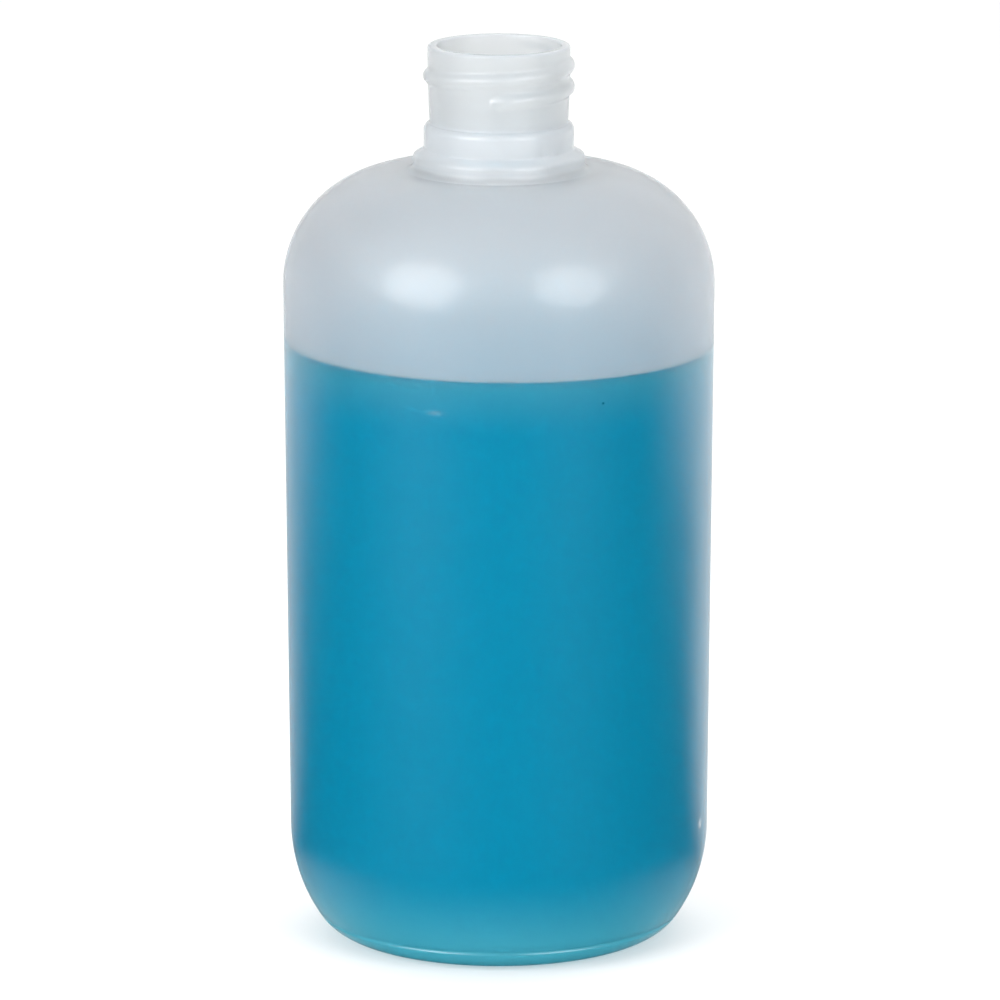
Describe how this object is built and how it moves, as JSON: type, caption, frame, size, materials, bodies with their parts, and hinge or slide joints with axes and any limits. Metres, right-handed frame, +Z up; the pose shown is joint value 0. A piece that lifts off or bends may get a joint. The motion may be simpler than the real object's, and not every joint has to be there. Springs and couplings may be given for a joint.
{
  "type": "boston round bottle",
  "caption": "Round-shouldered natural plastic bottle with an open screw neck, standing upright and part filled with blue liquid.",
  "frame": {"origin": "centre of the base, on the surface that the bottle stands on", "axes": "+Z up along the bottle's axis, out of the neck; the pictured front faces -Y, with +X to its right"},
  "size_m": [0.0674, 0.0674, 0.1418],
  "materials": {
    "natural_hdpe": "natural translucent blow-moulded plastic, satin",
    "blue_liquid": "clear blue liquid"
  },
  "bodies": {
    "root": {"bottle": "natural_hdpe", "liquid": "blue_liquid"}
  },
  "joints": []
}
